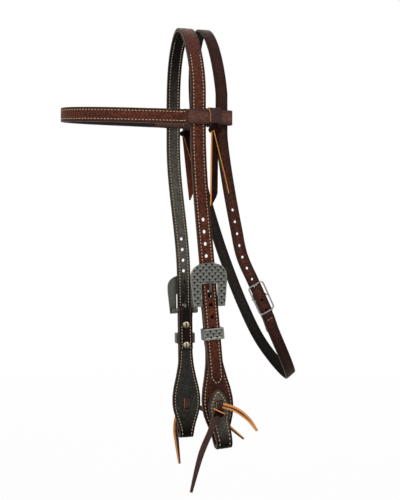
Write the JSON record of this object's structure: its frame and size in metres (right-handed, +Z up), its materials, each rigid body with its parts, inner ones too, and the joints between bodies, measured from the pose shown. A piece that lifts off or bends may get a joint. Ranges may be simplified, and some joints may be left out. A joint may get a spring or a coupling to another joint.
{
  "type": "western headstall",
  "caption": "Western browband headstall in stitched red-brown leather: crown, browband, throatlatch, two cart-buckled cheek straps with keepers, screw posts and thong-tied bit ends.",
  "frame": {"origin": "middle of the crown's underside at its highest point, where it rests on the poll", "axes": "+Z up, the horse faces -X, near (left) side at -Y and off side at +Y"},
  "size_m": [0.2644, 0.1596, 0.5048],
  "materials": {
    "leather": "oiled red-brown harness leather",
    "lining": "dark olive lining leather",
    "throat": "dark brown harness leather",
    "thong": "dark latigo thong with raw orange edges",
    "silver": "antique silver with a stamped basket weave",
    "nickel": "polished nickel",
    "chrome": "bright chrome"
  },
  "bodies": {
    "headstall": {"crown_strap": "leather", "crown_lining": "lining", "near_cheek_strap": "leather", "near_cheek_lining": "lining", "near_buckle_frame": "silver", "near_buckle_bar": "silver", "near_upper_screw_post": "nickel", "near_upper_screw_head": "nickel", "near_lower_screw_post": "nickel", "near_lower_screw_head": "nickel", "near_bit_tie": "thong", "off_cheek_strap": "leather", "off_cheek_lining": "lining", "off_buckle_frame": "silver", "off_buckle_bar": "silver", "off_upper_screw_post": "nickel", "off_upper_screw_head": "nickel", "off_lower_screw_post": "nickel", "off_lower_screw_head": "nickel", "off_bit_tie": "thong"},
    "browband": {"browband_strap": "leather", "browband_lining": "lining", "near_browband_tie": "thong", "off_browband_tie": "thong"},
    "throatlatch": {"throatlatch_strap": "throat", "throat_buckle_frame": "chrome"},
    "throat_tongue": {"throat_buckle_tongue": "chrome"},
    "near_tongue": {"near_buckle_tongue": "silver"},
    "off_tongue": {"off_buckle_tongue": "silver"},
    "near_keeper": {"near_keeper": "silver"},
    "off_keeper": {"off_keeper": "silver"}
  },
  "joints": [
    {"name": "browband_slide", "type": "slide", "parent": "headstall", "child": "browband", "axis": [0, 0, 1], "range_m": [-0.0025, 0.0025]},
    {"name": "throatlatch_swing", "type": "hinge", "parent": "headstall", "child": "throatlatch", "pos_m": [0.0282, 0, -0.0958], "axis": [0, 1, 0], "range_deg": [-3, 0]},
    {"name": "throat_tongue_turn", "type": "hinge", "parent": "throatlatch", "child": "throat_tongue", "pos_m": [0.0716, -0.052, -0.2907], "axis": [0.8829, 0, 0.4695], "range_deg": [0, 6]},
    {"name": "near_tongue_turn", "type": "hinge", "parent": "headstall", "child": "near_tongue", "pos_m": [0.0156, -0.0563, -0.2957], "axis": [0.9963, 0, 0.0854], "range_deg": [0, 6]},
    {"name": "off_tongue_turn", "type": "hinge", "parent": "headstall", "child": "off_tongue", "pos_m": [0.015, 0.0563, -0.3127], "axis": [-0.9999, 0, -0.0157], "range_deg": [0, 6]},
    {"name": "near_keeper_slide", "type": "slide", "parent": "headstall", "child": "near_keeper", "axis": [-0.0854, 0, 0.9963], "range_m": [0, 0.007]},
    {"name": "off_keeper_slide", "type": "slide", "parent": "headstall", "child": "off_keeper", "axis": [-0.0157, 0, 0.9999], "range_m": [0, 0.007]}
  ]
}
